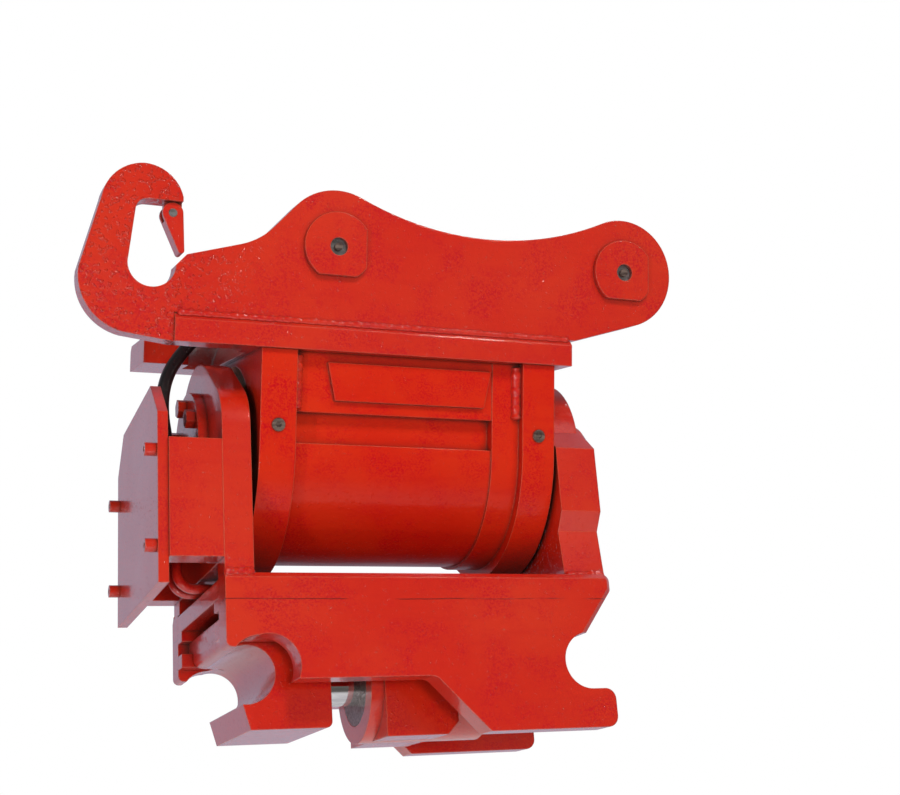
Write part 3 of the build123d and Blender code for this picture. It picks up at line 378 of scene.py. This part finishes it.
def red_paint(
    name, seam=False, hook=False, coat=1.0, coat_rough=0.05, specular=0.5, bevel=PAINT_BEVEL
):
    """Brushed glossy paint over plate: brush marks, orange peel, crimson specks, a painted
    highlight on outer edges, painted shade in corners and hollows.
    """
    paint = Shader(name, 0.0, PAINT_ROUGH, coat=coat, coat_rough=coat_rough, specular=specular)
    paint.surface["Coat IOR"].default_value = COAT_IOR
    brushed = paint.noise(BRUSH_MARKS, paint.stretched(BRUSH_STRETCH))
    cloud = paint.noise(CLOUDS)
    speck = paint.ramp(paint.noise(SPECKS), 0.44, 0.60)
    patch = paint.ramp(paint.noise(PATCHES), 0.40, 0.66)
    tone = paint.mix(paint.ramp(cloud, 0.25, 0.75), RED, LIGHT_RED)
    tone = paint.mix(paint.ramp(brushed, 0.45, 0.80, end=0.35), tone, BRUSHED_RED)
    tone = paint.mix(paint.maths("MULTIPLY", speck, patch), tone, CRIMSON)
    # Painted highlight: a lighter orange on sharp outer edges
    tone = paint.mix(paint.edge(EDGE_HIGHLIGHT_WIDTH), tone, EDGE_HIGHLIGHT)
    # Painted shade: darker where little nearby space is open, in corners, gaps and deep hollows
    tone = paint.mix(paint.crevice(reach=0.010, open_at=0.75, shut_at=0.30), tone, CORNER_SHADE)
    tone = paint.mix(paint.crevice(reach=0.070, open_at=0.30, shut_at=0.04), tone, HOLLOW_SHADE)
    reliefs = [
        (brushed, BRUSH_RELIEF),
        (paint.noise(ORANGE_PEEL), PEEL_RELIEF),
        (paint.ramp(paint.noise(GRIT), 0.62, 0.74), GRIT_RELIEF),
    ]
    if hook:
        drops = paint.ramp(paint.noise(DROPS), 0.54, 0.70)
        at_hook = paint.beyond("X", DROPS_BEGIN_X, DROPS_FULL_X)
        reliefs.append((paint.maths("MULTIPLY", drops, at_hook), DROP_RELIEF))
    if seam:
        line = paint.seam()
        tone = paint.mix(line, tone, SEAM_SHADE)
        reliefs.append((line, SEAM_RELIEF))
    paint.colour(tone)
    paint.rough(paint.ramp(cloud, 0.3, 0.7, *PAINT_ROUGH_SPAN))
    paint.bump(reliefs, bevel)
    return paint.material


def steel(name, base, dark, roughness, metallic=1.0):
    """Grained metal; a metallic share under one stands for oily scale on it."""
    metal = Shader(name, metallic, roughness)
    grain = metal.noise(METAL_GRAIN, metal.stretched(METAL_STRETCH))
    blot = metal.noise(METAL_BLOTS)
    tone = metal.mix(metal.ramp(grain, 0.35, 0.65), dark, base)
    metal.colour(metal.mix(metal.ramp(blot, 0.52, 0.75, end=0.5), tone, dark))
    metal.rough(metal.ramp(blot, 0.3, 0.7, roughness * 0.8, roughness * 1.4))
    metal.bump([(grain, METAL_RELIEF)], METAL_BEVEL)
    return metal.material


def rubber(name, colour, roughness, coat=0.0):
    """Black rubber with dust on it; a coat makes it shine."""
    skin = Shader(name, 0.0, roughness, coat=coat, coat_rough=0.15, specular=0.4)
    dust = skin.noise(DUST_PATCHES)
    skin.colour(skin.mix(skin.ramp(dust, 0.55, 0.8, end=0.4), colour, DUST))
    skin.rough(skin.ramp(dust, 0.3, 0.7, roughness * 0.85, roughness * 1.2))
    skin.bump([(skin.noise(RUBBER_GRAIN), RUBBER_RELIEF)])
    return skin.material


# Materials of the record's slots, and those of single nodes that differ from their slot
MATERIALS = {
    "red_paint": red_paint("brushed_red_paint"),
    "bare_steel": steel("zinc_steel", (0.46, 0.46, 0.45), (0.22, 0.21, 0.20), 0.38),
    "hard_steel": steel("ground_steel", (0.42, 0.41, 0.41), (0.25, 0.24, 0.24), 0.28, 0.7),
    "chrome_rod": steel("chromed_steel", (0.80, 0.80, 0.82), (0.62, 0.62, 0.65), 0.07),
    "bronze": steel("bearing_bronze", (0.55, 0.38, 0.16), (0.30, 0.20, 0.09), 0.35),
    "seal_rubber": rubber("seal_rubber", (0.02, 0.02, 0.022), 0.5),
    "hose_rubber": rubber("hose_rubber", (0.014, 0.014, 0.016), 0.30, coat=0.6),
    "plug_steel": steel("dark_steel", (0.34, 0.25, 0.21), (0.12, 0.08, 0.07), 0.35, 0.6),
}
MATERIALS["fastener"] = MATERIALS["red_paint"]
SEAMED = red_paint("brushed_red_paint_with_seam", seam=True)
BEADS = red_paint("red_paint_on_beads", coat_rough=0.03, bevel=BEAD_BEVEL)
OWN = {
    "side_plate_near": SEAMED,
    "side_plate_far": SEAMED,
    "housing": red_paint("red_paint_on_casting", coat=0.25, coat_rough=0.12, specular=0.15),
    "ear_plate_near": red_paint("red_paint_rough_at_hook", hook=True),
    "cylinder_gland": steel("oily_steel", (0.30, 0.25, 0.24), (0.12, 0.09, 0.08), 0.30, 0.6),
}


def dress_nodes():
    """Give every CAD node its material."""
    for part in frame["record"]["subparts"]:
        node = frame["nodes"][part["node"]]
        for entry in node.material_slots:
            entry.material = OWN.get(part["node"], MATERIALS[part["material_slot"]])


def tube(name, points, radius_at, sides, material):
    """Closed mesh tube along points; radius_at gives its radius at each one."""
    mesh = bmesh.new()
    rings = []
    side = None
    for index, point in enumerate(points):
        ahead = points[min(index + 1, len(points) - 1)] - points[max(index - 1, 0)]
        ahead.normalize()
        if side is None:
            side = ahead.orthogonal().normalized()
        side = (side - ahead * side.dot(ahead)).normalized()
        across = ahead.cross(side)
        reach = radius_at(index)
        ring = []
        for step in range(sides):
            turn = 2 * pi * step / sides
            ring.append(mesh.verts.new(point + (side * cos(turn) + across * sin(turn)) * reach))
        rings.append(ring)
    for first, second in zip(rings, rings[1:]):
        for step in range(sides):
            after = (step + 1) % sides
            mesh.faces.new((first[step], first[after], second[after], second[step]))
    mesh.faces.new(reversed(rings[0]))
    mesh.faces.new(rings[-1])
    bmesh.ops.recalc_face_normals(mesh, faces=mesh.faces)
    data = bpy.data.meshes.new(name)
    mesh.to_mesh(data)
    mesh.free()
    for face in data.polygons:
        face.use_smooth = len(face.vertices) == 4
    piece = bpy.data.objects.new(name, data)
    bpy.context.collection.objects.link(piece)
    data.materials.append(material)
    return piece


def add_hose():
    """The hose as one smooth tube along a spline through the CAD route's points."""
    points = (
        Vector((-0.401, HOSE_Y, -0.050)),
        Vector((-0.447, HOSE_Y, -0.093)),
        Vector((-0.467, HOSE_Y, -0.142)),
        low_point(MANIFOLD_X, HOSE_Y, -0.004),
        low_point(MANIFOLD_X, HOSE_Y, -0.066),
    )
    curve = bpy.data.curves.new("hose_route", "CURVE")
    curve.dimensions = "3D"
    curve.resolution_u = ROUTE_STEPS
    spline = curve.splines.new("NURBS")
    spline.points.add(len(points) - 1)
    for control, point in zip(spline.points, points):
        control.co = (*point, 1)
    spline.order_u = 3
    spline.use_endpoint_u = True
    route = bpy.data.objects.new("hose_route", curve)
    bpy.context.collection.objects.link(route)
    line = bpy.data.meshes.new_from_object(route)
    path = [vertex.co.copy() for vertex in line.vertices]
    bpy.data.objects.remove(route)
    bpy.data.meshes.remove(line)
    hose = tube("hose_tube", path, lambda index: HOSE_D / 2, HOSE_SIDES, MATERIALS["hose_rubber"])
    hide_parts("hose")
    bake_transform(hose)


def weld(name, start, end, radius, body):
    """A hand-laid bead between two points: ripples along it, an uneven width, closed ends."""
    seeded = random.Random(name)
    count = int((end - start).length / RING_SPACING)
    pace = seeded.uniform(*HALF_RIPPLE_RINGS)
    phase = seeded.uniform(*RIPPLE_PHASE)
    knots = range(count // KNOT_RINGS + 3)
    uneven = [seeded.uniform(-UNEVENNESS, UNEVENNESS) for _ in knots]
    along = [start.lerp(end, index / count) for index in range(count + 1)]

    def radius_at(index):
        share = index / KNOT_RINGS
        slow = uneven[int(share)] * (1 - share % 1) + uneven[int(share) + 1] * (share % 1)
        ripple = RIPPLE * abs(sin(phase + index / pace * pi / 2))
        to_end = min(index, count - index)
        closing = min(1.0, END_SHARE + to_end / END_RINGS)
        return radius * (1 + slow + ripple) * closing

    piece = tube(name, along, radius_at, BEAD_SIDES, BEADS)
    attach(piece, body)


def add_welds():
    """Beads on both sides: housing corners, feet of the arms and ears, guard box cheeks."""
    for name, y, start, end, radius, body in WELDS:
        for side, side_y in (("near", -y), ("far", y)):
            ends = [(x, side_y, z) for x, z in (start, end)]
            if body == "swing":
                ends = [low_point(*point) for point in ends]
            weld(name + "_" + side, Vector(ends[0]), Vector(ends[1]), radius, body)


def add_floor():
    """Round pale floor far below, fading out at its rim."""
    mesh = bmesh.new()
    bmesh.ops.create_circle(mesh, cap_ends=True, segments=FLOOR_SIDES, radius=FLOOR_R)
    data = bpy.data.meshes.new("floor")
    mesh.to_mesh(data)
    mesh.free()
    floor = bpy.data.objects.new("floor", data)
    floor.location = (AIM.x, AIM.y, FLOOR_Z)
    bpy.context.collection.objects.link(floor)
    ground = Shader("pale_floor", 0.0, FLOOR_ROUGH, specular=0.1)
    ground.colour(ground.mix(ground.noise(FLOOR_GRAIN), FLOOR_TONE, FLOOR_LIGHT_TONE))
    away = ground.vector_maths("LENGTH", ground.place)
    fade = ground.ramp(away, FLOOR_FADE_R, FLOOR_R)
    clear = ground.node("BsdfTransparent")
    faded = ground.mix_shaders(fade, ground.nodes["Principled BSDF"], clear)
    ground.links.new(faded.outputs[0], ground.nodes["Material Output"].inputs["Surface"])
    data.materials.append(ground.material)


add_camera()
dress_nodes()
add_hose()
add_welds()
add_floor()
add_world()
for lamp in LAMPS:
    add_lamp(*lamp)

bpy.context.scene.view_settings.view_transform = "Standard"
